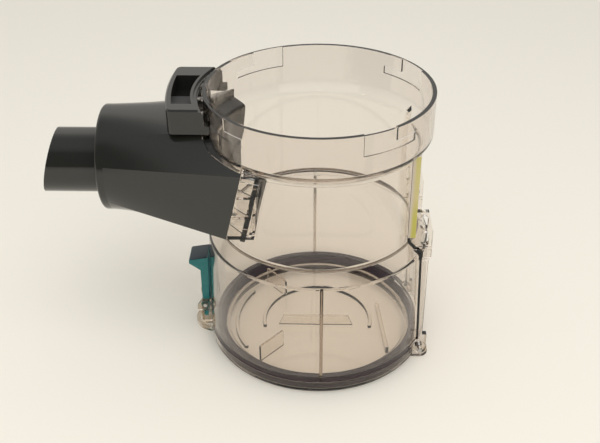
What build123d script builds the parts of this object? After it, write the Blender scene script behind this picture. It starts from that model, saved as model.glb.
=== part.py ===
"""Cyclone dust bin of a stick vacuum cleaner, in millimetres.

The clear bin stands on its bottom lid, with its axis on +Z and its base on the plane z = 0. The dark
inlet duct leaves to -X. The lid swings down on a hinge at +X, and the latch that holds it is at -X.
"""

import os
from math import cos, radians, sin, sqrt, tan

from build123d import *

# Clear bin: one moulding with a collar, a narrower middle, a shoulder and a skirt
wall = 2.0
mid_r = 50.4
collar_step = 4.6
collar_h = 20.5
rim_z = 140.5
flare_h = 4.6
shoulder_step = 5.7
shoulder_z = 69.6
shoulder_h = 6.6
skirt_draft = 1.5
bend_round = 0.6
seal_lip_w = 3.2
seal_lip_h = 1.8
ridge_w = 1.6
ridge_h = 0.5

# Bayonet slots inside the collar, for the cyclone unit above
slot_count = 4
slot_start_deg = -69.0
slot_entry_deg = 18.0
slot_length_deg = 30.5
slot_drop = 10.5
slot_groove_h = 4.0
slot_depth = 0.9

# Clip ears on the collar, beside the catch cover
ear_mid_deg = 180.0
ear_deg = 8.0
ear_w = 4.0
ear_h = 7.0
ear_reach = 2.2
ear_drop = 3.0

# Inlet nozzle: a tube with an oblique end
nozzle_r = 16.0
nozzle_wall = 2.0
nozzle_drop = 39.7
nozzle_top_x = -128.2
nozzle_slant = 7.8
nozzle_depth = 9.0
nozzle_fit = 0.05

# Inlet duct: a round end that turns into a five-sided mouth on a slanted plane
fit_gap = 0.2
duct_wall = 2.0
duct_start_x = -105.0
duct_rim_w = 4.0
duct_edge_round = 1.5
duct_round_r = 26.0
duct_round_drop = 38.0
duct_low_drop = 60.1
duct_crease_drop = 24.1
duct_top_drop = 13.5
duct_sink = 7.3
duct_lean_deg = 13.3
duct_front_inset = 5.3
duct_front_rake = 4.6
duct_top_front_y = -22.0
duct_top_back_y = 35.0
duct_back_low_y = 27.0

# Clear frame that carries the duct, the wedge beside the duct's mouth, and the inlet window
frame_w = 3.0
frame_back_y = -18.0
cap_h = 2.2
web_t = 1.5
web_count = 4
post_offset = 6.5
post_t = 2.4
window_front_y = -31.0
window_back_y = -3.0
window_sill = 5.6
window_head = 6.4
window_round = 4.0

# Catch cover: the box on the duct beside the collar, with a pocket for the cleaner's hook
cover_reach = 17.7
cover_front_y = -23.2
cover_back_y = 28.5
cover_apex_y = 8.0
cover_front_drop = 3.5
cover_back_drop = 1.5
cover_sink = 0.6
cover_h = 12.1
cover_corner = 3.0
cover_edge = 0.8
cover_wall = 2.2
step_count = 2
step_w = 1.3
step_drop = 1.0
pocket_start = 5.6
pocket_rim = 2.7
pocket_front_y = -16.0
pocket_back_y = 17.0
pocket_floor = 4.1
pocket_ramp_y = 1.0
pocket_ramp_drop = 2.5

# Rear ribs: on each side a bar on the skirt, a block, an eye tab, a fin and a hinge lug
rib_y = 24.0
rib_t = 3.0
bar_proud = 2.3
bar_low_z = 10.5
tab_proud = 4.9
tab_slope = 2.6
tab_low_drop = 3.6
tab_h = 21.0
tab_frame = 2.0
block_h = 6.0
block_t = 5.0
fin_proud = 2.9
strip_w = 3.6
strip_t = 0.8
strip_low_rise = 3.4
strip_top_drop = 3.0

# Bottom lid with its seal channel, ribs and fins
lid_t = 2.0
lid_edge_round = 3.1
lid_flange_z = 7.4
lid_gap = 0.6
channel_gap = 0.25
channel_wall = 1.8
channel_wall_z = 5.4
lid_rib_t = 2.0
lid_rib_h = 1.4
lid_rib_round = 0.8
lid_ring_r = 29.0
lid_ring_mid_deg = 90.0
lid_ring_deg = 204.0
lid_arc_r = 44.0
lid_arc_mid_deg = 180.0
lid_arc_deg = 66.0
swirl_t = 1.2
swirl_h = 9.5
swirl_in_r = 28.0
swirl_out_r = 45.0
swirl_deg = 130.0
chord_x = 34.7
chord_y = -7.5
chord_turn_deg = 4.3
chord_length = 40.0
chord_t = 1.6
chord_h = 4.0
bar_mid_x = -0.8
bar_mid_y = -3.8
bar_length = 40.0
bar_top_length = 35.0
bar_h = 6.0
bar_t = 1.2

# Rubber seal in the lid's channel
seal_inset = 3.3
seal_w = 4.4
seal_gap = 0.25
seal_round = 0.8

# Lid hinge
hinge_offset = -0.7
hinge_z = 4.6
hinge_eye_r = 3.3
hinge_pin_r = 1.25
hinge_play = 0.05
hinge_side_gap = 0.3
knuckle_r = 3.8
knuckle_t = 3.2
pin_chamfer = 0.3

# Pull loop and catch arm on the lid
loop_inset = 2.1
loop_r = 10.8
loop_w = 2.0
loop_z = 1.4
loop_h = 2.4
arm_w = 8.0
arm_t = 1.2
arm_out = 5.3
arm_top_z = 11.4
arm_lip = 1.0
arm_lip_t = 1.4

# Latch lever with its bracket cheeks, pin and torsion spring
latch_w = 13.0
latch_gap = 0.8
pivot_out = 2.4
pivot_z = 17.0
latch_boss_r = 2.4
latch_pin_r = 1.25
latch_pin_play = 0.05
stem_out = 1.6
head_out = 7.3
latch_top_z = 46.4
latch_top_drop = 1.7
head_tip_h = 1.9
head_slope_h = 4.2
head_wall = 1.2
neck_w = 11.0
neck_t = 1.3
neck_in = 0.9
claw_t = 1.7
claw_gap = 0.3
claw_catch = 0.7
cheek_t = 2.0
cheek_side_gap = 0.3
cheek_low_z = 13.8
cheek_top_z = 20.2
cheek_out = 4.1
cheek_top_out = 1.9
spring_wire_r = 0.3
spring_coil_r = 1.9
spring_pitch = 0.66
spring_turns = 5
spring_lean_deg = 4.0
spring_leg_up = 8.0
spring_leg_down = 7.5
spring_room = 0.6

# Values that follow from the driving dimensions
collar_r = mid_r + collar_step
skirt_top_r = mid_r + shoulder_step
skirt_r = skirt_top_r + skirt_draft
bore_r = collar_r - wall
collar_z = rim_z - collar_h
skirt_z = lid_flange_z + lid_gap
skirt_top_z = shoulder_z - shoulder_h
outline_round = wall + bend_round
nozzle_z = rim_z - nozzle_drop
nozzle_bottom_x = nozzle_top_x - nozzle_slant
duct_round_z = rim_z - duct_round_drop
duct_low_z = rim_z - duct_low_drop
duct_crease_z = rim_z - duct_crease_drop
duct_top_z = rim_z - duct_top_drop
duct_front_y = duct_front_inset - mid_r
duct_front_low_y = duct_front_y + duct_front_rake
window_low_z = duct_low_z + window_sill
window_top_z = duct_crease_z - window_head
cover_r = collar_r + cover_reach
pocket_in_r = collar_r + pocket_start
cover_low_z = duct_top_z - cover_sink
cover_top_z = cover_low_z + cover_h
pocket_low_z = cover_low_z + pocket_floor
tab_low_z = shoulder_z - tab_low_drop
tab_top_z = tab_low_z + tab_h
strip_low_z = shoulder_z + strip_low_rise
strip_top_z = collar_z - strip_top_drop
lug_y = rib_y + rib_t / 2
knuckle_y = lug_y + hinge_side_gap
seal_out_r = skirt_r - seal_inset
seal_in_r = seal_out_r - seal_w
channel_out_r = seal_out_r + channel_gap
channel_in_r = seal_in_r - channel_gap
hinge_x = seal_out_r + hinge_offset
pivot_x = -(skirt_r + pivot_out)
cheek_y = latch_w / 2 + cheek_side_gap


def bin_outline(extra):
    """Corners of the bin's outer wall from the skirt's edge up to the rim, moved out by extra."""
    return [
        (skirt_r + extra, skirt_z),
        (skirt_top_r + extra, skirt_top_z),
        (mid_r + extra, shoulder_z),
        (mid_r + extra, collar_z - flare_h),
        (collar_r + extra, collar_z),
        (collar_r + extra, rim_z),
    ]


def bin_space(extra):
    """The filled space inside the bin's outer wall, moved out by extra."""
    with BuildPart() as space:
        with BuildSketch(Plane.XZ):
            with BuildLine():
                outline = FilletPolyline(*bin_outline(extra), radius=outline_round)
                Polyline(outline @ 1, (0, rim_z), (0, skirt_z), outline @ 0)
            make_face()
        revolve(axis=Axis.Z)
    return space.part


def skirt_r_at(z):
    """Outer radius of the drafted skirt at a height."""
    share = (z - skirt_z) / (skirt_top_z - skirt_z)
    return skirt_r + share * (skirt_top_r - skirt_r)


def wall_x(radius, y):
    """X on a round wall, at a distance y from the middle."""
    return sqrt(radius**2 - y**2)


bin_inside = bin_space(-wall / 2)

# One bayonet slot: an entry from the rim and a groove that runs on from its foot
with BuildPart() as bayonet_slot:
    with BuildSketch(Plane.XZ):
        with Locations((bore_r, rim_z - slot_drop)):
            Rectangle(2 * slot_depth, 2 * slot_drop, align=(Align.CENTER, Align.MIN))
    revolve(axis=Axis.Z, revolution_arc=slot_entry_deg)
    with BuildSketch(Plane.XZ):
        with Locations((bore_r, rim_z - slot_drop)):
            Rectangle(2 * slot_depth, slot_groove_h, align=(Align.CENTER, Align.MIN))
    revolve(axis=Axis.Z, revolution_arc=slot_length_deg)

# The slanted plane of the duct's mouth: its x runs to -Y, and its y runs up the slant
lean = radians(duct_lean_deg)
mouth_low_x = -mid_r + duct_sink
mouth_plane = Plane(
    origin=(mouth_low_x, 0, duct_low_z),
    x_dir=(0, -1, 0),
    z_dir=(-cos(lean), 0, sin(lean)),
)


def front_y_at(z):
    """Y of the duct's leaning front wall at a height."""
    share = (z - duct_low_z) / (duct_crease_z - duct_low_z)
    return duct_front_low_y + share * (duct_front_y - duct_front_low_y)


def mouth_x_at(z):
    """X of the slanted plane at a height."""
    return mouth_low_x + (z - duct_low_z) * tan(lean)


def on_mouth(y, z):
    """A point of the slanted plane, in that plane's own directions."""
    return (-y, (z - duct_low_z) / cos(lean))


# The mouth's corners as (y, z), from the low front over the top to the low back, and the angle on the
# round end, from +Y towards +Z, at which each corner's line starts
mouth_corners = [
    (duct_front_low_y, duct_low_z),
    (duct_front_y, duct_crease_z),
    (duct_top_front_y, duct_top_z),
    (duct_top_back_y, duct_top_z),
    (duct_back_low_y, duct_low_z),
]
round_starts_deg = [240, 168, 112, 66, -58]
round_end = Plane((duct_start_x + duct_rim_w, 0, duct_round_z), x_dir=(0, -1, 0), z_dir=(-1, 0, 0))


def duct_space(inset):
    """The duct's space, moved in by inset from its skin: a round end and a five-sided mouth."""
    with BuildPart() as space:
        with BuildSketch(Plane.YZ.offset(duct_start_x + inset)):
            with Locations((0, duct_round_z)):
                Circle(duct_round_r - inset)
        extrude(amount=duct_rim_w - inset)
        with BuildSketch(round_end):
            with BuildLine():
                round_ends_deg = round_starts_deg[1:] + [round_starts_deg[0] - 360]
                for start, end in zip(round_starts_deg, round_ends_deg):
                    CenterArc((0, 0), duct_round_r - inset, 180 - start, start - end)
            make_face()
        with BuildSketch(mouth_plane):
            with BuildLine():
                Polyline(*[on_mouth(y, z) for y, z in mouth_corners], close=True)
            make_face()
            if inset:
                offset(amount=-inset, kind=Kind.INTERSECTION)
        loft(ruled=True)
    return space.part


duct_skin = duct_space(0)
duct_bore = duct_space(duct_wall)

def frame_space(extra):
    """The space round the bin, in front of the catch cover, that the clear frame takes, grown by extra."""
    with BuildPart() as space:
        add(bin_space(frame_w + extra))
        split(bisect_by=Plane.XZ.offset(-frame_back_y - extra), keep=Keep.TOP)
    return space.part


# The clear frame at the duct's front: for a short way the duct's walls go on in clear plastic
with BuildPart() as inlet_frame:
    add(duct_skin)
    add(duct_bore, mode=Mode.SUBTRACT)
    add(frame_space(0), mode=Mode.INTERSECT)
    add(bin_inside, mode=Mode.SUBTRACT)

# The clear wedge between the duct's mouth and the round wall: a front wall, a cap, level webs and a post
with BuildPart() as inlet_wedge:
    for z in (duct_low_z, duct_crease_z):
        start_x = mouth_x_at(z) + fit_gap
        meet_x = wall - wall_x(mid_r, front_y_at(z))
        with BuildSketch(Plane.XY.offset(z)):
            with Locations((start_x, front_y_at(z))):
                Rectangle(meet_x - start_x, wall, align=(Align.MIN, Align.MIN))
    loft()
    web_step = (duct_crease_z - duct_low_z - web_t) / (web_count - 1)
    for level in range(web_count):
        z = duct_low_z + level * web_step
        start_x = mouth_x_at(z + web_t) + fit_gap
        web_y = front_y_at(z) + wall / 2
        with BuildSketch(Plane.XY.offset(z)):
            with BuildLine():
                Polyline(
                    (start_x, web_y),
                    (wall - wall_x(mid_r, web_y), web_y),
                    (start_x, wall - wall_x(mid_r, start_x)),
                    close=True,
                )
            make_face()
        extrude(amount=web_t)
    with BuildSketch(mouth_plane.offset(-fit_gap)):
        with BuildLine():
            Polyline(
                on_mouth(duct_front_y, duct_crease_z),
                on_mouth(duct_top_front_y, duct_top_z),
                on_mouth(duct_top_front_y, duct_top_z - cap_h),
                on_mouth(duct_front_y, duct_crease_z - cap_h),
                close=True,
            )
        make_face()
    extrude(amount=fit_gap - post_offset - post_t)
    with BuildSketch(mouth_plane.offset(-post_offset)):
        with BuildLine():
            Polyline(
                on_mouth(duct_front_low_y + wall / 2, duct_low_z),
                on_mouth(duct_front_y + wall / 2, duct_crease_z),
                on_mouth(-mid_r / 2, duct_crease_z),
                on_mouth(-mid_r / 2, duct_low_z),
                close=True,
            )
        make_face()
    extrude(amount=-post_t)
    add(bin_inside, mode=Mode.SUBTRACT)

# One rear rib, at +Y
rib_in_x = wall_x(mid_r, lug_y) - wall
bar_x = wall_x(skirt_r, rib_y) + bar_proud
tab_x = wall_x(skirt_top_r, rib_y) + tab_proud
tab_top_x = tab_x - tab_slope
fin_x = wall_x(mid_r, rib_y) + fin_proud
tab_mid_z = (tab_low_z + tab_top_z) / 2
tab_window_h = (tab_h - 3 * tab_frame) / 2
with BuildPart() as rear_rib:
    with BuildSketch(Plane.XZ.offset(-rib_y)):
        with BuildLine():
            Polyline(
                (rib_in_x, bar_low_z),
                (bar_x, bar_low_z),
                (bar_x, tab_low_z - block_h),
                (tab_x, tab_low_z - block_h),
                (tab_x, tab_mid_z),
                (tab_top_x, tab_top_z),
                (fin_x, tab_top_z),
                (fin_x, collar_z),
                (rib_in_x, collar_z),
                close=True,
            )
        make_face()
        with Locations((hinge_x, hinge_z)):
            Circle(hinge_eye_r)
            Rectangle(2 * hinge_eye_r, bar_low_z - hinge_z + wall, align=(Align.CENTER, Align.MIN))
            Circle(hinge_pin_r, mode=Mode.SUBTRACT)
        with Locations(
            (tab_top_x - tab_frame / 2, tab_mid_z - (tab_frame + tab_window_h) / 2),
            (tab_top_x - tab_frame, tab_mid_z + (tab_frame + tab_window_h) / 2),
        ):
            SlotOverall(tab_window_h, 2 * tab_frame, rotation=90, mode=Mode.SUBTRACT)
    extrude(amount=rib_t / 2, both=True)
    with BuildSketch(Plane.XZ.offset(-rib_y)):
        with Locations((tab_x, tab_low_z)):
            Rectangle(tab_x - rib_in_x, block_h, align=(Align.MAX, Align.MAX))
    extrude(amount=block_t / 2, both=True)
    add(bin_inside, mode=Mode.SUBTRACT)

# One cheek of the latch bracket, at +Y, with the hole for the pivot pin
cheek_root_x = wall - skirt_top_r
with BuildPart() as latch_cheek:
    with BuildSketch(Plane.XZ.offset(-cheek_y)):
        with BuildLine():
            Polyline(
                (cheek_root_x, cheek_low_z),
                (pivot_x - cheek_out, cheek_low_z),
                (pivot_x - cheek_out, pivot_z),
                (pivot_x - cheek_top_out, cheek_top_z),
                (cheek_root_x, cheek_top_z),
                close=True,
            )
        make_face()
        with Locations((pivot_x, pivot_z)):
            Circle(latch_pin_r, mode=Mode.SUBTRACT)
    extrude(amount=-cheek_t)
    add(bin_inside, mode=Mode.SUBTRACT)

# Clear bin body
with BuildPart() as bin_body:
    with BuildSketch(Plane.XZ):
        with BuildLine():
            FilletPolyline(*bin_outline(0), radius=outline_round)
            offset(amount=wall, side=Side.LEFT)
        make_face()
        with Locations((skirt_r - wall / 2, skirt_z)):
            Rectangle(seal_lip_w + wall / 2, seal_lip_h, align=(Align.MAX, Align.MIN))
    revolve(axis=Axis.Z)
    # Parting ridges, front and back
    with BuildSketch(Plane.YZ):
        for side in (1, -1):
            with BuildLine():
                Polyline(
                    (side * (skirt_r - wall / 2), skirt_z),
                    (side * (skirt_r + ridge_h), skirt_z),
                    (side * (skirt_top_r + ridge_h), skirt_top_z),
                    (side * (skirt_top_r - wall / 2), skirt_top_z),
                    close=True,
                )
            make_face()
    extrude(amount=ridge_w / 2, both=True)
    # Clip ears
    with BuildSketch(Plane.XY.offset(rim_z - ear_drop)):
        for side in (1, -1):
            with PolarLocations(collar_r - wall / 2, 1, start_angle=ear_mid_deg + side * ear_deg):
                Rectangle(ear_reach + wall / 2, ear_w, align=(Align.MIN, Align.CENTER))
    extrude(amount=-ear_h)
    add(inlet_frame.part)
    add(inlet_wedge.part)
    for feature in (rear_rib, latch_cheek):
        add(feature.part)
        add(mirror(feature.part, about=Plane.XZ, mode=Mode.PRIVATE))
    with PolarLocations(0, slot_count, start_angle=slot_start_deg):
        add(bayonet_slot.part, mode=Mode.SUBTRACT)
    # Inlet window
    with BuildSketch(Plane.YZ):
        with Locations(((window_front_y + window_back_y) / 2, (window_low_z + window_top_z) / 2)):
            RectangleRounded(window_back_y - window_front_y, window_top_z - window_low_z, window_round)
    extrude(amount=-collar_r, mode=Mode.SUBTRACT)
bin_body.part.label = "bin_body"

# Narrow strip on the fin of the front rib
with BuildPart() as rear_strip:
    with BuildSketch(Plane.XZ.offset(lug_y)):
        with Locations((fin_x, strip_low_z)):
            Rectangle(strip_w, strip_top_z - strip_low_z, align=(Align.MAX, Align.MIN))
    extrude(amount=strip_t)
    add(bin_space(fit_gap), mode=Mode.SUBTRACT)
rear_strip.part.label = "rear_strip"

# Inlet nozzle
with BuildPart() as inlet_nozzle:
    with BuildSketch(Plane.YZ.offset(nozzle_bottom_x)):
        with Locations((0, nozzle_z)):
            Circle(nozzle_r)
            Circle(nozzle_r - nozzle_wall, mode=Mode.SUBTRACT)
    extrude(amount=duct_start_x + nozzle_depth - nozzle_bottom_x)
    with BuildSketch(Plane.XZ):
        with BuildLine():
            Polyline(
                (nozzle_bottom_x, nozzle_z - nozzle_r),
                (nozzle_top_x, nozzle_z + nozzle_r),
                (nozzle_bottom_x, nozzle_z + nozzle_r),
                close=True,
            )
        make_face()
    extrude(amount=nozzle_r, both=True, mode=Mode.SUBTRACT)
inlet_nozzle.part.label = "inlet_nozzle"

# Inlet duct
with BuildPart() as inlet_duct:
    add(duct_skin)
    fillet(inlet_duct.edges().group_by(Axis.X)[0], duct_edge_round)
    add(duct_bore, mode=Mode.SUBTRACT)
    with BuildSketch(Plane.YZ.offset(duct_start_x)):
        with Locations((0, nozzle_z)):
            Circle(nozzle_r + nozzle_fit)
    extrude(amount=duct_wall, mode=Mode.SUBTRACT)
    add(frame_space(fit_gap), mode=Mode.SUBTRACT)
    add(bin_space(fit_gap), mode=Mode.SUBTRACT)
inlet_duct.part.label = "inlet_duct"

# The catch cover's plan: a bowed outer side, with rounded corners, that runs in under the collar
with BuildSketch(Plane.XY) as cover_plan:
    with BuildLine():
        front_left = (cover_front_drop - cover_r, cover_front_y)
        back_left = (cover_back_drop - cover_r, cover_back_y)
        ThreePointArc(front_left, (-cover_r, cover_apex_y), back_left)
        Polyline(back_left, (-mid_r / 2, cover_back_y), (-mid_r / 2, cover_front_y), front_left)
    make_face()
    fillet(cover_plan.vertices().sort_by(Axis.X)[:2], cover_corner)

# The catch cover's pocket: a ramp and a deep end, between the bowed side and a round about the bin's axis
with BuildPart() as cover_pocket:
    with BuildSketch(Plane.YZ):
        with BuildLine():
            Polyline(
                (pocket_front_y, cover_top_z),
                (pocket_front_y, cover_top_z - pocket_ramp_drop),
                (pocket_ramp_y, pocket_low_z),
                (pocket_back_y, pocket_low_z),
                (pocket_back_y, cover_top_z),
                close=True,
            )
        make_face()
    extrude(amount=-cover_r)
    with BuildSketch(Plane.XY):
        Circle(pocket_in_r)
    extrude(amount=cover_top_z, mode=Mode.SUBTRACT)
    with BuildSketch(Plane.XY):
        add(cover_plan.sketch)
        offset(amount=-pocket_rim)
    extrude(amount=cover_top_z, mode=Mode.INTERSECT)

# Catch cover
with BuildPart() as catch_cover:
    with BuildSketch(Plane.XY.offset(cover_low_z)):
        add(cover_plan.sketch)
    extrude(amount=cover_h)
    chamfer(catch_cover.edges().group_by(Axis.Z)[-1], cover_edge)
    with BuildSketch(Plane.XY.offset(cover_low_z)):
        add(cover_plan.sketch)
        offset(amount=-cover_wall)
    extrude(amount=cover_h - cover_wall, mode=Mode.SUBTRACT)
    # Walls round the pocket, then the pocket
    with BuildSketch(Plane.XY.offset(cover_top_z - cover_wall)):
        add(cover_plan.sketch)
        offset(amount=cover_wall / 2 - pocket_rim)
        Circle(pocket_in_r - cover_wall / 2, mode=Mode.SUBTRACT)
        with Locations((0, pocket_front_y - cover_wall)):
            Rectangle(
                cover_r,
                pocket_back_y - pocket_front_y + 2 * cover_wall,
                align=(Align.MAX, Align.MIN),
                mode=Mode.INTERSECT,
            )
    extrude(amount=cover_wall - cover_h)
    add(cover_pocket.part, mode=Mode.SUBTRACT)
    # Steps that go round the collar, the last one down to the clip ears' foot
    for step in range(step_count):
        with BuildSketch(Plane.XY.offset(cover_top_z)):
            Circle(pocket_in_r - (step + 1) * step_w)
        extrude(amount=-(step + 1) * step_drop, mode=Mode.SUBTRACT)
    with BuildSketch(Plane.XY.offset(cover_top_z)):
        Circle(collar_r + ear_reach + fit_gap)
    extrude(amount=rim_z - ear_drop - ear_h - cover_top_z - fit_gap, mode=Mode.SUBTRACT)
    add(bin_space(fit_gap), mode=Mode.SUBTRACT)
    add(duct_space(-fit_gap), mode=Mode.SUBTRACT)
catch_cover.part.label = "catch_cover"

# Low ribs on the lid: a ring and an arc, with soft edges
with BuildPart() as lid_ribs:
    with BuildSketch(Plane.XY.offset(lid_t)):
        for radius, middle, length in (
            (lid_ring_r, lid_ring_mid_deg, lid_ring_deg),
            (lid_arc_r, lid_arc_mid_deg, lid_arc_deg),
        ):
            SlotArc(CenterArc((0, 0), radius, middle - length / 2, length, mode=Mode.PRIVATE), lid_rib_t)
    extrude(amount=lid_rib_h)
    fillet(lid_ribs.edges().group_by(Axis.Z)[-1], lid_rib_round)

# Bottom lid
with BuildPart() as lid:
    with BuildSketch(Plane.XZ):
        with BuildLine():
            rim = FilletPolyline((0, 0), (skirt_r, 0), (skirt_r, lid_flange_z), radius=lid_edge_round)
            Polyline(
                rim @ 1,
                (channel_out_r, lid_flange_z),
                (channel_out_r, lid_t),
                (channel_in_r, lid_t),
                (channel_in_r, channel_wall_z),
                (channel_in_r - channel_wall, channel_wall_z),
                (channel_in_r - channel_wall, lid_t),
                (0, lid_t),
                rim @ 0,
            )
        make_face()
    revolve(axis=Axis.Z)
    # The rim is left off between the hinge lugs
    with BuildSketch(Plane.XY):
        Rectangle(2 * skirt_r, 2 * knuckle_y, align=(Align.MIN, Align.CENTER))
        Circle(channel_out_r, mode=Mode.SUBTRACT)
    extrude(amount=lid_flange_z, mode=Mode.SUBTRACT)
    add(lid_ribs.part)
    # Chord near the hinge
    with BuildSketch(Plane.XY.offset(lid_t)):
        with Locations((chord_x, chord_y)):
            Rectangle(chord_t, chord_length, rotation=chord_turn_deg)
    extrude(amount=chord_h)
    # Swirl fins
    with BuildSketch(Plane.XY.offset(lid_t)):
        for side in (1, -1):
            with PolarLocations(swirl_in_r, 1, start_angle=side * swirl_deg):
                Rectangle(swirl_out_r - swirl_in_r, swirl_t, align=(Align.MIN, Align.CENTER))
    extrude(amount=swirl_h)
    # Bar across the middle
    with BuildSketch(Plane.XZ.offset(-bar_mid_y)):
        with BuildLine():
            Polyline(
                (bar_mid_x - bar_length / 2, lid_t),
                (bar_mid_x + bar_length / 2, lid_t),
                (bar_mid_x + bar_top_length / 2, lid_t + bar_h),
                (bar_mid_x - bar_top_length / 2, lid_t + bar_h),
                close=True,
            )
        make_face()
    extrude(amount=bar_t / 2, both=True)
    # Hinge knuckles
    knuckle_in_x = wall_x(channel_out_r, knuckle_y)
    for side in (1, -1):
        with BuildSketch(Plane.XZ.offset(-side * knuckle_y)):
            with BuildLine():
                Polyline(
                    (knuckle_in_x, hinge_z - knuckle_r),
                    (hinge_x, hinge_z - knuckle_r),
                    (hinge_x, lid_flange_z),
                    (knuckle_in_x, lid_flange_z),
                    close=True,
                )
            make_face()
            with Locations((hinge_x, hinge_z)):
                Circle(knuckle_r)
                Circle(hinge_pin_r + hinge_play, mode=Mode.SUBTRACT)
        extrude(amount=-side * knuckle_t)
    # Pull loop
    flange_mid_r = (skirt_r + channel_out_r) / 2
    with BuildSketch(Plane.XY.offset(loop_z)):
        with Locations((loop_inset - skirt_r, 0)):
            Circle(loop_r)
            Circle(loop_r - loop_w, mode=Mode.SUBTRACT)
        Circle(flange_mid_r, mode=Mode.SUBTRACT)
    extrude(amount=loop_h)
    # Catch arm, with its lip turned in over the lever's claw
    arm_x = -(skirt_r + arm_out)
    with BuildSketch(Plane.XZ):
        with BuildLine():
            Polyline(
                (-flange_mid_r, loop_z),
                (arm_x, loop_z),
                (arm_x, arm_top_z),
                (arm_x + arm_t + arm_lip, arm_top_z),
                (arm_x + arm_t + arm_lip, arm_top_z - arm_lip_t),
                (arm_x + arm_t, arm_top_z - arm_lip_t),
                (arm_x + arm_t, loop_z + loop_h),
                (-flange_mid_r, loop_z + loop_h),
                close=True,
            )
        make_face()
    extrude(amount=arm_w / 2, both=True)
lid.part.label = "lid"

# Rubber seal, lying in the lid's channel
with BuildPart() as lid_seal:
    with BuildSketch(Plane.XZ) as seal_section:
        with Locations((seal_in_r, lid_t)):
            Rectangle(seal_w, skirt_z - seal_gap - lid_t, align=(Align.MIN, Align.MIN))
        fillet(seal_section.vertices().group_by(Axis.Y)[-1], seal_round)
    revolve(axis=Axis.Z)
lid_seal.part.label = "lid_seal"


def pin(radius, x, z, start_y, end_y):
    """A plain steel pin along Y, with chamfered ends."""
    with BuildPart() as shaft:
        with BuildSketch(Plane.XZ.offset(-start_y)):
            with Locations((x, z)):
                Circle(radius)
        extrude(amount=start_y - end_y)
        chamfer(shaft.edges(), pin_chamfer)
    return shaft


# Hinge pins, held in the bin's lugs
hinge_pin_back = pin(hinge_pin_r, hinge_x, hinge_z, rib_y - rib_t / 2, knuckle_y + knuckle_t)
hinge_pin_back.part.label = "hinge_pin_back"
hinge_pin_front = pin(hinge_pin_r, hinge_x, hinge_z, -(knuckle_y + knuckle_t), rib_t / 2 - rib_y)
hinge_pin_front.part.label = "hinge_pin_front"

# Latch pin, held in the bracket's cheeks
latch_pin = pin(latch_pin_r, pivot_x, pivot_z, -(cheek_y + cheek_t), cheek_y + cheek_t)
latch_pin.part.label = "latch_pin"

# Latch lever: a stem on a pivot boss, a head that overhangs to the outside and a claw at the foot
stem_x = pivot_x - stem_out
head_x = pivot_x - head_out
head_tip_z = latch_top_z - latch_top_drop
head_low_z = head_tip_z - head_tip_h - head_slope_h
head_in_x = -(skirt_r_at(latch_top_z) + latch_gap)
stem_in_x = -(skirt_r_at(pivot_z) + latch_gap)
neck_x = pivot_x + neck_in
claw_top_z = arm_top_z - arm_lip_t - claw_gap
claw_x = arm_x + arm_t + arm_lip - claw_catch
coil_length = spring_turns * spring_pitch
spring_slot_w = coil_length + 2 * (spring_wire_r + spring_room)
coil_out_r = spring_coil_r + spring_wire_r
with BuildPart() as latch_lever:
    with BuildSketch(Plane.XZ):
        with BuildLine():
            Polyline(
                (head_in_x, latch_top_z),
                (head_x, head_tip_z),
                (head_x, head_tip_z - head_tip_h),
                (stem_x, head_low_z),
                (stem_x, pivot_z),
                (stem_in_x, pivot_z),
                close=True,
            )
        make_face()
        with Locations((pivot_x, pivot_z)):
            Circle(latch_boss_r)
    extrude(amount=latch_w / 2, both=True)
    # Neck and claw
    with BuildSketch(Plane.XZ):
        with BuildLine():
            Polyline(
                (neck_x, pivot_z),
                (neck_x - neck_t, pivot_z),
                (neck_x - neck_t, claw_top_z),
                (claw_x, claw_top_z),
                (claw_x, claw_top_z - claw_t / 2),
                (neck_x - neck_t, claw_top_z - claw_t),
                (neck_x, claw_top_z - claw_t),
                close=True,
            )
        make_face()
    extrude(amount=neck_w / 2, both=True)
    # Bore, window for the spring's coil and groove for its upper leg
    with BuildSketch(Plane.XZ):
        with Locations((pivot_x, pivot_z)):
            Circle(latch_pin_r + latch_pin_play)
    extrude(amount=latch_w / 2, both=True, mode=Mode.SUBTRACT)
    with BuildSketch(Plane.XZ):
        with Locations((pivot_x, pivot_z)):
            Rectangle(2 * head_out, 2 * (coil_out_r + spring_room))
        with Locations((pivot_x, pivot_z)):
            Rectangle(head_out, spring_leg_up + spring_room, align=(Align.MIN, Align.MIN))
    extrude(amount=spring_slot_w / 2, both=True, mode=Mode.SUBTRACT)
    # Hollow in the head's top
    with BuildSketch(Plane.XZ):
        with BuildLine():
            Polyline(
                (head_in_x - head_wall, latch_top_z),
                (head_x + head_wall, latch_top_z),
                (head_x + head_wall, head_tip_z - head_tip_h + head_wall),
                (stem_x, head_low_z + head_wall),
                (head_in_x - head_wall, head_low_z + head_wall),
                close=True,
            )
        make_face()
    extrude(amount=latch_w / 2 - head_wall, both=True, mode=Mode.SUBTRACT)
latch_lever.part.label = "latch_lever"

# Torsion spring round the latch pin: a coil with one leg on the skirt and one on the lever's neck
spring_lean = radians(spring_lean_deg)
coil_plane = Plane(
    origin=(pivot_x, -coil_length / 2, pivot_z),
    x_dir=(cos(spring_lean), 0, -sin(spring_lean)),
    z_dir=(0, 1, 0),
)
coil = coil_plane * Helix(pitch=spring_pitch, height=coil_length, radius=spring_coil_r)
upper_end = Plane(origin=coil @ 0, z_dir=coil % 0)
lower_end = Plane(origin=coil @ 1, z_dir=coil % 1)
with BuildPart() as latch_spring:
    with BuildSketch(upper_end):
        Circle(spring_wire_r)
    sweep(path=coil, is_frenet=True)
    with BuildSketch(upper_end):
        Circle(spring_wire_r)
    extrude(amount=-spring_leg_up)
    with BuildSketch(lower_end):
        Circle(spring_wire_r)
    extrude(amount=spring_leg_down)
latch_spring.part.label = "latch_spring"

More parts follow.
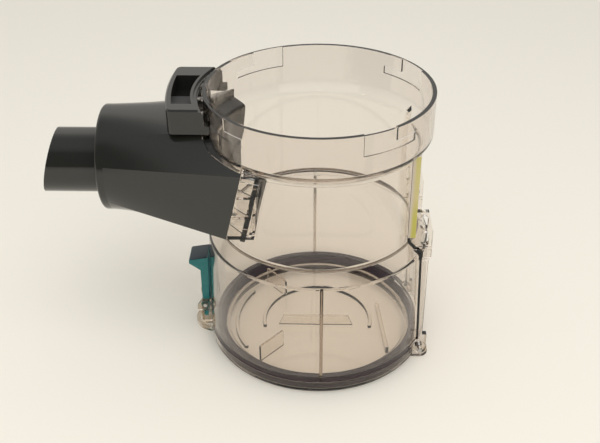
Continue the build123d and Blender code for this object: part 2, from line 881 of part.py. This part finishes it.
os.makedirs("parts", exist_ok=True)
pieces = [
    bin_body,
    rear_strip,
    inlet_nozzle,
    inlet_duct,
    catch_cover,
    lid,
    lid_seal,
    hinge_pin_back,
    hinge_pin_front,
    latch_pin,
    latch_lever,
    latch_spring,
]
for piece in pieces:
    export_step(piece.part, f"parts/{piece.part.label}.step")
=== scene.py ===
"""Clear cyclone dust bin with its dark inlet duct, standing on a pale table under soft light."""

from math import cos, pi, radians, sin

import bmesh
import bpy
from mathutils import Matrix, Vector


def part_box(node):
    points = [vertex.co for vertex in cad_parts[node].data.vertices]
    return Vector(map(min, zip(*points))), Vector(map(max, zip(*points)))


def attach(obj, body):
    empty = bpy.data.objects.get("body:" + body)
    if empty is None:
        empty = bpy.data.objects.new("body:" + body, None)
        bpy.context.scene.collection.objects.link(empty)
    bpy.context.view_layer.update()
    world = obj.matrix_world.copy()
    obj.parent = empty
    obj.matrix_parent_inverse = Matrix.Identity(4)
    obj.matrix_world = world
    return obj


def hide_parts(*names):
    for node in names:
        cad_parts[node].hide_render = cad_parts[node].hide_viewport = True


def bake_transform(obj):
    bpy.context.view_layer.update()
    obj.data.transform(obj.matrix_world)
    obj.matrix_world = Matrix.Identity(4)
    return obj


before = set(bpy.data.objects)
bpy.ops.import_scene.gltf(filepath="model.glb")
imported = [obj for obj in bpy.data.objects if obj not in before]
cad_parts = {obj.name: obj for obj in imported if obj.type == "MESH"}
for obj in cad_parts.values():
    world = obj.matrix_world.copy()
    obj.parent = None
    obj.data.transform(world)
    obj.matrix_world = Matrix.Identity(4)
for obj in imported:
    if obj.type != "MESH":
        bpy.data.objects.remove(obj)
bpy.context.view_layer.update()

# Clear bin body: one injection moulding in smoky clear plastic, with the collar, the skirt and the rear
# ribs in one piece. The wall swallows a little light, so it darkens where the eye looks along it, and
# the tool's polish leaves a faint ripple. The collar and the lugs outside the skirt are a shade darker.

moulding = bpy.data.node_groups.new("moulded_surface", "ShaderNodeTree")
for socket in ("Patch Scale", "Grain Scale", "Low Roughness", "High Roughness"):
    moulding.interface.new_socket(socket, in_out="INPUT", socket_type="NodeSocketFloat")
for socket in ("Roughness", "Patch", "Grain"):
    moulding.interface.new_socket(socket, in_out="OUTPUT", socket_type="NodeSocketFloat")
group_in = moulding.nodes.new("NodeGroupInput")
group_out = moulding.nodes.new("NodeGroupOutput")
surface_place = moulding.nodes.new("ShaderNodeTexCoord")
patch = moulding.nodes.new("ShaderNodeTexNoise")
patch.inputs["Detail"].default_value = 3.0
grain = moulding.nodes.new("ShaderNodeTexNoise")
grain.inputs["Detail"].default_value = 2.0
spread = moulding.nodes.new("ShaderNodeMapRange")
spread.inputs["From Min"].default_value = 0.35
spread.inputs["From Max"].default_value = 0.65
join = moulding.links.new
join(surface_place.outputs["Object"], patch.inputs["Vector"])
join(surface_place.outputs["Object"], grain.inputs["Vector"])
join(group_in.outputs["Patch Scale"], patch.inputs["Scale"])
join(group_in.outputs["Grain Scale"], grain.inputs["Scale"])
join(patch.outputs["Fac"], spread.inputs["Value"])
join(group_in.outputs["Low Roughness"], spread.inputs["To Min"])
join(group_in.outputs["High Roughness"], spread.inputs["To Max"])
join(spread.outputs["Result"], group_out.inputs["Roughness"])
join(patch.outputs["Fac"], group_out.inputs["Patch"])
join(grain.outputs["Fac"], group_out.inputs["Grain"])
grain_height = 0.0002


def moulded_material(name, patch_scale, grain_scale, roughness, bump):
    """A material whose gloss and fine relief come from the moulded surface, and its shader."""
    material = bpy.data.materials.new(name)
    material.use_nodes = True
    nodes = material.node_tree.nodes
    join = material.node_tree.links.new
    surface = nodes.new("ShaderNodeGroup")
    surface.name = "Surface"
    surface.node_tree = moulding
    surface.inputs["Patch Scale"].default_value = patch_scale
    surface.inputs["Grain Scale"].default_value = grain_scale
    surface.inputs["Low Roughness"].default_value = roughness[0]
    surface.inputs["High Roughness"].default_value = roughness[1]
    relief = nodes.new("ShaderNodeBump")
    relief.inputs["Strength"].default_value = bump
    relief.inputs["Distance"].default_value = grain_height
    shader = nodes["Principled BSDF"]
    join(surface.outputs["Roughness"], shader.inputs["Roughness"])
    join(surface.outputs["Grain"], relief.inputs["Height"])
    join(relief.outputs["Normal"], shader.inputs["Normal"])
    return material, shader


def share_along(nodes, start, end):
    """A node that goes from 0 to 1 as its value goes from start to end."""
    share = nodes.new("ShaderNodeMapRange")
    share.inputs["From Min"].default_value = start
    share.inputs["From Max"].default_value = end
    return share


def colour_mix(nodes, **colours):
    """A mix of two colours, of which A, B or both are given."""
    mix = nodes.new("ShaderNodeMix")
    mix.data_type = "RGBA"
    for socket, colour in colours.items():
        mix.inputs[socket].default_value = colour
    return mix


def math_node(nodes, operation):
    """A node that works out one value from two."""
    node = nodes.new("ShaderNodeMath")
    node.operation = operation
    return node


clear, clear_shader = moulded_material(
    "smoky_clear_plastic", patch_scale=40, grain_scale=90, roughness=(0.01, 0.04), bump=0.02
)
clear_ior = 1.49
clear_shader.inputs["IOR"].default_value = clear_ior
clear_shader.inputs["Transmission Weight"].default_value = 1.0
clear_nodes = clear.node_tree.nodes
join = clear.node_tree.links.new

collar_foot_z = 0.1165
collar_full_z = 0.1200
wall_colour = (0.975, 0.955, 0.925, 1)
collar_colour = (0.915, 0.885, 0.860, 1)
clear_place = clear_nodes.new("ShaderNodeTexCoord")
clear_axes = clear_nodes.new("ShaderNodeSeparateXYZ")
collar_share = share_along(clear_nodes, collar_foot_z, collar_full_z)
wall_tint = colour_mix(clear_nodes, A=wall_colour, B=collar_colour)
join(clear_place.outputs["Object"], clear_axes.inputs["Vector"])
join(clear_axes.outputs["Z"], collar_share.inputs["Value"])
join(collar_share.outputs["Result"], wall_tint.inputs["Factor"])

latch_lug_x = -0.0576
latch_lug_full_x = -0.0584
hinge_lug_x = 0.0555
hinge_lug_full_x = 0.0568
lug_top_z = 0.072
lug_full_z = 0.064
lug_colour = (0.66, 0.60, 0.50, 1)
latch_side = share_along(clear_nodes, latch_lug_x, latch_lug_full_x)
hinge_side = share_along(clear_nodes, hinge_lug_x, hinge_lug_full_x)
lug_height = share_along(clear_nodes, lug_top_z, lug_full_z)
lug_side = math_node(clear_nodes, "MAXIMUM")
lug_share = math_node(clear_nodes, "MULTIPLY")
lug_tint = colour_mix(clear_nodes, B=lug_colour)
join(clear_axes.outputs["X"], latch_side.inputs["Value"])
join(clear_axes.outputs["X"], hinge_side.inputs["Value"])
join(clear_axes.outputs["Z"], lug_height.inputs["Value"])
join(latch_side.outputs["Result"], lug_side.inputs[0])
join(hinge_side.outputs["Result"], lug_side.inputs[1])
join(lug_side.outputs["Value"], lug_share.inputs[0])
join(lug_height.outputs["Result"], lug_share.inputs[1])
join(lug_share.outputs["Value"], lug_tint.inputs["Factor"])
join(wall_tint.outputs["Result"], lug_tint.inputs["A"])
join(lug_tint.outputs["Result"], clear_shader.inputs["Base Color"])

# The shadow and the bounced light go straight through the clear walls, with a little of them lost
smoke = clear_nodes.new("ShaderNodeVolumeAbsorption")
smoke.inputs["Color"].default_value = (0.76, 0.68, 0.61, 1)
smoke.inputs["Density"].default_value = 110.0
passing = clear_nodes.new("ShaderNodeBsdfTransparent")
passing.inputs["Color"].default_value = (0.98, 0.972, 0.962, 1)
light_path = clear_nodes.new("ShaderNodeLightPath")
unseen = math_node(clear_nodes, "MAXIMUM")
either = clear_nodes.new("ShaderNodeMixShader")
clear_out = clear_nodes["Material Output"]
join(light_path.outputs["Is Shadow Ray"], unseen.inputs[0])
join(light_path.outputs["Is Diffuse Ray"], unseen.inputs[1])
join(unseen.outputs["Value"], either.inputs["Fac"])
join(clear_shader.outputs["BSDF"], either.inputs[1])
join(passing.outputs["BSDF"], either.inputs[2])
join(either.outputs["Shader"], clear_out.inputs["Surface"])
join(smoke.outputs["Volume"], clear_out.inputs["Volume"])
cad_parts["bin_body"].material_slots[0].material = clear

# Moulding beads: low round beads of the same plastic, one up the skirt at the front and one at the back
# where the mould's halves part, and one round the foot of the middle wall. They are a shade darker,
# because the eye looks along more plastic there.


def piece_from(shape, name, material, smooth=True):
    """An object made from a bmesh, with its material."""
    for face in shape.faces:
        face.smooth = smooth
    mesh = bpy.data.meshes.new(name)
    shape.to_mesh(mesh)
    shape.free()
    mesh.materials.append(material)
    piece = bpy.data.objects.new(name, mesh)
    bpy.context.collection.objects.link(piece)
    return piece


def spin_section(shape, corners, steps, start_deg=0, sweep_deg=360):
    """Spin a closed section of radius and height about the bin's axis, and close its ends if it has any."""
    points = [shape.verts.new((radius, 0, height)) for radius, height in corners]
    edges = [shape.edges.new((points[k - 1], points[k])) for k in range(len(points))]
    start = Matrix.Rotation(radians(start_deg), 3, "Z")
    bmesh.ops.rotate(shape, verts=points, cent=(0, 0, 0), matrix=start)
    bmesh.ops.spin(
        shape,
        geom=points + edges,
        cent=(0, 0, 0),
        axis=(0, 0, 1),
        angle=radians(sweep_deg),
        steps=steps,
        use_merge=sweep_deg == 360,
    )
    bmesh.ops.holes_fill(shape, edges=[edge for edge in shape.edges if edge.is_boundary])
    bmesh.ops.recalc_face_normals(shape, faces=shape.faces)


parting_plastic, parting_shader = moulded_material(
    "parting_bead_plastic", patch_scale=40, grain_scale=90, roughness=(0.15, 0.25), bump=0.02
)
parting_shader.inputs["Base Color"].default_value = (0.60, 0.54, 0.49, 1)
parting_shader.inputs["IOR"].default_value = 1.12
parting_shader.inputs["Transmission Weight"].default_value = 1.0

bead_r = 0.0008
bead_sides = 16
bead_angles_deg = (92, 272)
skirt_low = Vector((0.0573, 0, 0.0082))
skirt_high = Vector((0.0558, 0, 0.0630))
skirt_run = skirt_high - skirt_low
skirt_middle = Matrix.Translation((skirt_low + skirt_high) / 2)
bead_lean = skirt_run.to_track_quat("Z", "Y").to_matrix().to_4x4()
parting = bmesh.new()
for bead_deg in bead_angles_deg:
    bmesh.ops.create_cone(
        parting,
        cap_ends=True,
        segments=bead_sides,
        radius1=bead_r,
        radius2=bead_r,
        depth=skirt_run.length,
        matrix=Matrix.Rotation(radians(bead_deg), 4, "Z") @ skirt_middle @ bead_lean,
    )
bmesh.ops.recalc_face_normals(parting, faces=parting.faces)
parting_beads = piece_from(parting, "parting_beads", parting_plastic)
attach(parting_beads, "bin")

foot_plastic, foot_shader = moulded_material(
    "smoky_bead_plastic", patch_scale=40, grain_scale=90, roughness=(0.05, 0.1), bump=0.02
)
foot_shader.inputs["Base Color"].default_value = (0.50, 0.45, 0.41, 1)
foot_shader.inputs["IOR"].default_value = clear_ior
foot_shader.inputs["Transmission Weight"].default_value = 1.0

foot_r = 0.0502
foot_z = 0.0694
foot_sides = 10
ring_steps = 160
foot_turns = [2 * pi * k / foot_sides for k in range(foot_sides)]
foot_corners = [(foot_r + bead_r * cos(turn), foot_z + bead_r * sin(turn)) for turn in foot_turns]
foot = bmesh.new()
spin_section(foot, foot_corners, ring_steps)
foot_bead = piece_from(foot, "foot_bead", foot_plastic)
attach(foot_bead, "bin")

# Inlet duct, nozzle and catch cover: three mouldings in dark grey plastic with a satin shine, pushed
# into each other and welded to the clear bin's frame. The grey drifts a little from patch to patch.


def two_tone(material, low, high):
    """Let a material's colour drift between two tones with the patches of its moulded surface."""
    nodes = material.node_tree.nodes
    join = material.node_tree.links.new
    tone = colour_mix(nodes, A=low, B=high)
    join(nodes["Surface"].outputs["Patch"], tone.inputs["Factor"])
    join(tone.outputs["Result"], nodes["Principled BSDF"].inputs["Base Color"])


dark_plastic, dark_shader = moulded_material(
    "dark_satin_plastic", patch_scale=30, grain_scale=2600, roughness=(0.09, 0.15), bump=0.03
)
two_tone(dark_plastic, low=(0.0140, 0.0138, 0.0118, 1), high=(0.0165, 0.0162, 0.0138, 1))
dark_shader.inputs["IOR"].default_value = 1.58
for node in ("inlet_duct", "inlet_nozzle", "catch_cover"):
    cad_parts[node].material_slots[0].material = dark_plastic

# Pocket shelf: a small plate of the same kind of dark plastic, with a duller skin, that steps the front
# half of the catch cover's pocket. It is welded to the pocket's ramp and walls.
shelf_plastic, shelf_shader = moulded_material(
    "shelf_plastic", patch_scale=30, grain_scale=2600, roughness=(0.4, 0.5), bump=0.03
)
shelf_shader.inputs["Base Color"].default_value = (0.020, 0.020, 0.022, 1)
shelf_shader.inputs["Specular IOR Level"].default_value = 0.35

shelf_low_z = 0.1320
shelf_front_z = 0.1354
shelf_back_z = 0.1342
shelf_front_y = -0.0138
shelf_back_y = 0.0018
shelf_corners = [
    (-0.0582, shelf_front_y, shelf_front_z),
    (-0.0599, shelf_back_y, shelf_back_z),
    (-0.0702, shelf_back_y, shelf_back_z),
    (-0.0688, shelf_front_y, shelf_front_z),
]
shelf = bmesh.new()
shelf_top = shelf.faces.new([shelf.verts.new(corner) for corner in shelf_corners])
shelf_wall = bmesh.ops.extrude_face_region(shelf, geom=[shelf_top], use_keep_orig=True)
for corner in [item for item in shelf_wall["geom"] if isinstance(item, bmesh.types.BMVert)]:
    corner.co.z = shelf_low_z
bmesh.ops.recalc_face_normals(shelf, faces=shelf.faces)
pocket_shelf = piece_from(shelf, "pocket_shelf", shelf_plastic, smooth=False)
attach(pocket_shelf, "bin")

# Rear strip: a narrow yellow strip of matt plastic, clipped to the fin of the front rib. Its colour is
# faded in the middle of its length and along the edge next to the bin.
yellow_plastic, yellow_shader = moulded_material(
    "yellow_strip_plastic", patch_scale=80, grain_scale=1800, roughness=(0.45, 0.6), bump=0.1
)
yellow_nodes = yellow_plastic.node_tree.nodes
join = yellow_plastic.node_tree.links.new
pale_edge_w = 0.0006
pale_fade_w = 0.0012
strip_low, strip_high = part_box("rear_strip")
pale_edge_x = strip_low[0] + pale_edge_w
strip_place = yellow_nodes.new("ShaderNodeTexCoord")
strip_axes = yellow_nodes.new("ShaderNodeSeparateXYZ")
strip_length = share_along(yellow_nodes, strip_low[2], strip_high[2])
strip_width = share_along(yellow_nodes, pale_edge_x, pale_edge_x + pale_fade_w)
fade = yellow_nodes.new("ShaderNodeValToRGB")
fade.color_ramp.elements[0].position = 0.25
fade.color_ramp.elements[0].color = (0.48, 0.44, 0.09, 1)
fade.color_ramp.elements[1].position = 1.0
fade.color_ramp.elements[1].color = (0.54, 0.49, 0.175, 1)
faded = fade.color_ramp.elements.new(0.5)
faded.color = (0.57, 0.49, 0.235, 1)
strip_tone = colour_mix(yellow_nodes, A=(0.56, 0.49, 0.40, 1))
join(strip_place.outputs["Object"], strip_axes.inputs["Vector"])
join(strip_axes.outputs["Z"], strip_length.inputs["Value"])
join(strip_axes.outputs["X"], strip_width.inputs["Value"])
join(strip_length.outputs["Result"], fade.inputs["Fac"])
join(strip_width.outputs["Result"], strip_tone.inputs["Factor"])
join(fade.outputs["Color"], strip_tone.inputs["B"])
join(strip_tone.outputs["Result"], yellow_shader.inputs["Base Color"])
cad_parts["rear_strip"].material_slots[0].material = yellow_plastic

# Bottom lid: a flap in the same clear plastic as the bin, with low ring ribs, swirl fins and a pull loop.
# It hangs on two short pins at the right, and the lever's claw holds it at the left.
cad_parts["lid"].material_slots[0].material = clear

# Lid seal: a ring of soft black rubber that lies in the lid's channel and is pressed on the skirt's inner
# flange. A thin lip of it covers the lid's flange, where the skirt closes, and stops short of the hinge.
rubber, rubber_shader = moulded_material(
    "seal_rubber", patch_scale=60, grain_scale=3000, roughness=(0.5, 0.65), bump=0.15
)
two_tone(rubber, low=(0.019, 0.008, 0.014, 1), high=(0.027, 0.012, 0.020, 1))
rubber_shader.inputs["Specular IOR Level"].default_value = 0.1

seal_in_r = 0.0499
seal_out_r = 0.0543
seal_low_z = 0.0020
seal_high_z = 0.0081
seal_edge_w = 0.0010
seal_edge_h = 0.0009
seal_edge_cut = 0.0003
seal_corners = [
    (seal_in_r, seal_low_z),
    (seal_out_r, seal_low_z),
    (seal_out_r, seal_high_z),
    (seal_in_r + seal_edge_w, seal_high_z),
    (seal_in_r + seal_edge_cut, seal_high_z - seal_edge_cut),
    (seal_in_r, seal_high_z - seal_edge_h),
]
lip_in_r = 0.0540
lip_out_r = 0.05755
lip_low_z = 0.00745
lip_high_z = 0.00825
lip_edge_w = 0.00010
lip_edge_h = 0.00015
lip_start_deg = 33
lip_steps = 132
lip_corners = [
    (lip_in_r, lip_low_z),
    (lip_out_r - lip_edge_w, lip_low_z),
    (lip_out_r, lip_low_z + lip_edge_h),
    (lip_out_r, lip_high_z),
    (lip_in_r, lip_high_z),
]
seal = bmesh.new()
spin_section(seal, seal_corners, ring_steps)
spin_section(seal, lip_corners, lip_steps, start_deg=lip_start_deg, sweep_deg=360 - 2 * lip_start_deg)
seal_ring = piece_from(seal, "seal_ring", rubber)
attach(seal_ring, "lid")
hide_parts("lid_seal")

# Pins and spring: drawn steel pins pressed into the clear lugs, and a torsion spring of steel wire on the
# latch pin.
steel, steel_shader = moulded_material(
    "drawn_steel", patch_scale=400, grain_scale=4000, roughness=(0.22, 0.38), bump=0.1
)
steel_shader.inputs["Metallic"].default_value = 1.0
steel_shader.inputs["Base Color"].default_value = (0.56, 0.55, 0.54, 1)
for node in ("hinge_pin_back", "hinge_pin_front", "latch_pin"):
    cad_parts[node].material_slots[0].material = steel

merge_dist = 0.000001
wire = bmesh.new()
wire.from_mesh(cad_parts["latch_spring"].data)
bmesh.ops.remove_doubles(wire, verts=wire.verts, dist=merge_dist)
torsion_spring = piece_from(wire, "torsion_spring", steel)
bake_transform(torsion_spring)
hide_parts("latch_spring")

# Latch lever: a moulding in teal plastic that turns on its pin and holds the lid's catch arm with its
# claw. Its colour drifts a little from patch to patch.
teal_plastic, teal_shader = moulded_material(
    "teal_plastic", patch_scale=60, grain_scale=2400, roughness=(0.2, 0.3), bump=0.05
)
two_tone(teal_plastic, low=(0.016, 0.150, 0.150, 1), high=(0.022, 0.168, 0.165, 1))
teal_shader.inputs["Specular IOR Level"].default_value = 0.35
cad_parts["latch_lever"].material_slots[0].material = teal_plastic

# Shade ribs: two upright ribs on the lever's inner face beside the spring, in a darker teal that is painted
# shade of the lever's shaded inner side. They follow the drafted skirt with a hair of play.
rib_painted_shade, rib_painted_shade_shader = moulded_material(
    "shaded_teal_plastic", patch_scale=60, grain_scale=2400, roughness=(0.3, 0.4), bump=0.05
)
# The darker teal is painted shade of the lever's inner side.
rib_painted_shade_shader.inputs["Base Color"].default_value = (0.012, 0.090, 0.104, 1)
rib_painted_shade_shader.inputs["Specular IOR Level"].default_value = 0.35

rib_low_z = 0.0190
rib_high_z = 0.0462
rib_play = 0.0002
rib_depth = 0.0010
rib_start_deg = 3.0
rib_end_deg = 6.4
rib_steps = 4
lever_side_deg = 180
skirt_at_low_r = 0.05731
skirt_at_high_r = 0.05655
rib_low_r = skirt_at_low_r + rib_play
rib_high_r = skirt_at_high_r + rib_play
rib_corners = [
    (rib_low_r, rib_low_z),
    (rib_low_r + rib_depth, rib_low_z),
    (rib_high_r + rib_depth, rib_high_z),
    (rib_high_r, rib_high_z),
]
rib_width_deg = rib_end_deg - rib_start_deg
ribs = bmesh.new()
for rib_deg in (lever_side_deg - rib_end_deg, lever_side_deg + rib_start_deg):
    spin_section(ribs, rib_corners, rib_steps, start_deg=rib_deg, sweep_deg=rib_width_deg)
shade_ribs = piece_from(ribs, "shade_ribs", rib_painted_shade)
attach(shade_ribs, "latch")

# Head top: a thin dark blue-grey pad with softened edges on the sloping top of the lever's head. Its dark
# colour is painted shade, where the head's top lies in shade.
head_painted_shade, head_painted_shade_shader = moulded_material(
    "head_painted_shade", patch_scale=60, grain_scale=3000, roughness=(0.35, 0.45), bump=0.08
)
# The pad's dark blue-grey is painted shade on the head's top.
head_painted_shade_shader.inputs["Base Color"].default_value = (0.024, 0.042, 0.056, 1)

pad_size = (0.0094, 0.0126, 0.0007)
pad_edge = 0.0002
pad_place = (-0.0623, 0, 0.0456)
pad_slope_deg = -9.7
pad_slope = Matrix.Rotation(radians(pad_slope_deg), 3, "Y")
pad = bmesh.new()
bmesh.ops.create_cube(pad, size=1.0)
bmesh.ops.scale(pad, verts=pad.verts, vec=pad_size)
bmesh.ops.bevel(pad, geom=pad.edges, offset=pad_edge, affect="EDGES", segments=2, profile=0.5, material=-1)
bmesh.ops.rotate(pad, verts=pad.verts, cent=(0, 0, 0), matrix=pad_slope)
bmesh.ops.translate(pad, verts=pad.verts, vec=pad_place)
bmesh.ops.recalc_face_normals(pad, faces=pad.faces)
head_shade_pad = piece_from(pad, "head_shade_pad", head_painted_shade)
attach(head_shade_pad, "latch")

# Table: one wide sheet of pale matt paper, which is not part of the bin. It lies a hair below the lid, so
# that the lid's underside stays its own.
table_half = 6.0
table_drop = 0.0003
sheet = bmesh.new()
bmesh.ops.create_grid(sheet, x_segments=1, y_segments=1, size=table_half)
bmesh.ops.translate(sheet, verts=sheet.verts, vec=(0, 0, -table_drop))
table_mesh = bpy.data.meshes.new("table")
sheet.to_mesh(table_mesh)
sheet.free()
paper = bpy.data.materials.new("pale_paper")
paper.use_nodes = True
paper_shader = paper.node_tree.nodes["Principled BSDF"]
paper_shader.inputs["Base Color"].default_value = (0.90, 0.86, 0.77, 1)
paper_shader.inputs["Roughness"].default_value = 0.9
paper_shader.inputs["Specular IOR Level"].default_value = 0.1
table_mesh.materials.append(paper)
table = bpy.data.objects.new("table", table_mesh)
bpy.context.collection.objects.link(table)

# Light: an even pale dome, a wide soft lamp overhead and three small lamps, of which the gloss shows the
# middle and the right one. What the gloss and the clear walls show of the room is darkest in front and
# bright behind the table.
room = bpy.data.worlds.new("room")
bpy.context.scene.world = room
room.use_nodes = True
room_nodes = room.node_tree.nodes
join = room.node_tree.links.new
direction = room_nodes.new("ShaderNodeTexCoord")
sides = room_nodes.new("ShaderNodeSeparateXYZ")
behind = share_along(room_nodes, start=-0.6, end=0.6)
upward = share_along(room_nodes, start=0.72, end=0.95)
backdrop = room_nodes.new("ShaderNodeValToRGB")
backdrop.color_ramp.elements[0].position = 0.2
backdrop.color_ramp.elements[0].color = (0.62, 0.60, 0.56, 1)
backdrop.color_ramp.elements[1].position = 0.65
backdrop.color_ramp.elements[1].color = (1.05, 1.02, 0.96, 1)
walls = colour_mix(room_nodes, A=(0.075, 0.085, 0.090, 1))
ceiling = colour_mix(room_nodes, B=(0.42, 0.44, 0.44, 1))
join(direction.outputs["Generated"], sides.inputs["Vector"])
join(sides.outputs["Y"], behind.inputs["Value"])
join(sides.outputs["Z"], upward.inputs["Value"])
join(sides.outputs["Z"], backdrop.inputs["Fac"])
join(backdrop.outputs["Color"], walls.inputs["B"])
join(behind.outputs["Result"], walls.inputs["Factor"])
join(walls.outputs["Result"], ceiling.inputs["A"])
join(upward.outputs["Result"], ceiling.inputs["Factor"])

room_path = room_nodes.new("ShaderNodeLightPath")
direct_or_mirrored = math_node(room_nodes, "MAXIMUM")
seen = math_node(room_nodes, "MAXIMUM")
dome = colour_mix(room_nodes, A=(0.70, 0.692, 0.68, 1))
join(room_path.outputs["Is Camera Ray"], direct_or_mirrored.inputs[0])
join(room_path.outputs["Is Glossy Ray"], direct_or_mirrored.inputs[1])
join(direct_or_mirrored.outputs["Value"], seen.inputs[0])
join(room_path.outputs["Is Transmission Ray"], seen.inputs[1])
join(seen.outputs["Value"], dome.inputs["Factor"])
join(ceiling.outputs["Result"], dome.inputs["B"])
join(dome.outputs["Result"], room_nodes["Background"].inputs["Color"])

bin_middle = Vector((0, 0, 0.07))


def area_lamp(name, size, energy, place, in_gloss):
    """A square lamp at a place, turned to the bin's middle, which the gloss shows or not."""
    lamp = bpy.data.lights.new(name, "AREA")
    lamp.size = size
    lamp.energy = energy
    lamp_object = bpy.data.objects.new(name, lamp)
    lamp_object.location = place
    aim = bin_middle - Vector(place)
    lamp_object.rotation_euler = aim.to_track_quat("-Z", "Y").to_euler()
    lamp_object.visible_glossy = in_gloss
    bpy.context.collection.objects.link(lamp_object)


small_lamp = 0.07
area_lamp("overhead_softbox", size=1.0, energy=5.0, place=(0, -0.5, 0.9), in_gloss=False)
area_lamp("left_lamp", size=small_lamp, energy=0.15, place=(-0.75, -0.35, 1.1), in_gloss=False)
area_lamp("middle_lamp", size=small_lamp, energy=0.2, place=(0, -0.68, 1.2), in_gloss=True)
area_lamp("right_lamp", size=small_lamp, energy=0.2, place=(0.75, -0.35, 1.1), in_gloss=True)

# Camera: in front of the bin and above it, looking down at about 32 degrees, with its place, turn and
# lens fitted to the ellipses of the collar and the skirt.
lens = bpy.data.cameras.new("camera")
lens.lens = 53.95
camera = bpy.data.objects.new("camera", lens)
camera.location = (0, -0.39158, 0.31205)
camera.rotation_euler = (radians(57.792), radians(0.181), radians(1.2475))
bpy.context.collection.objects.link(camera)
bpy.context.scene.camera = camera
bpy.context.scene.view_settings.view_transform = "Standard"
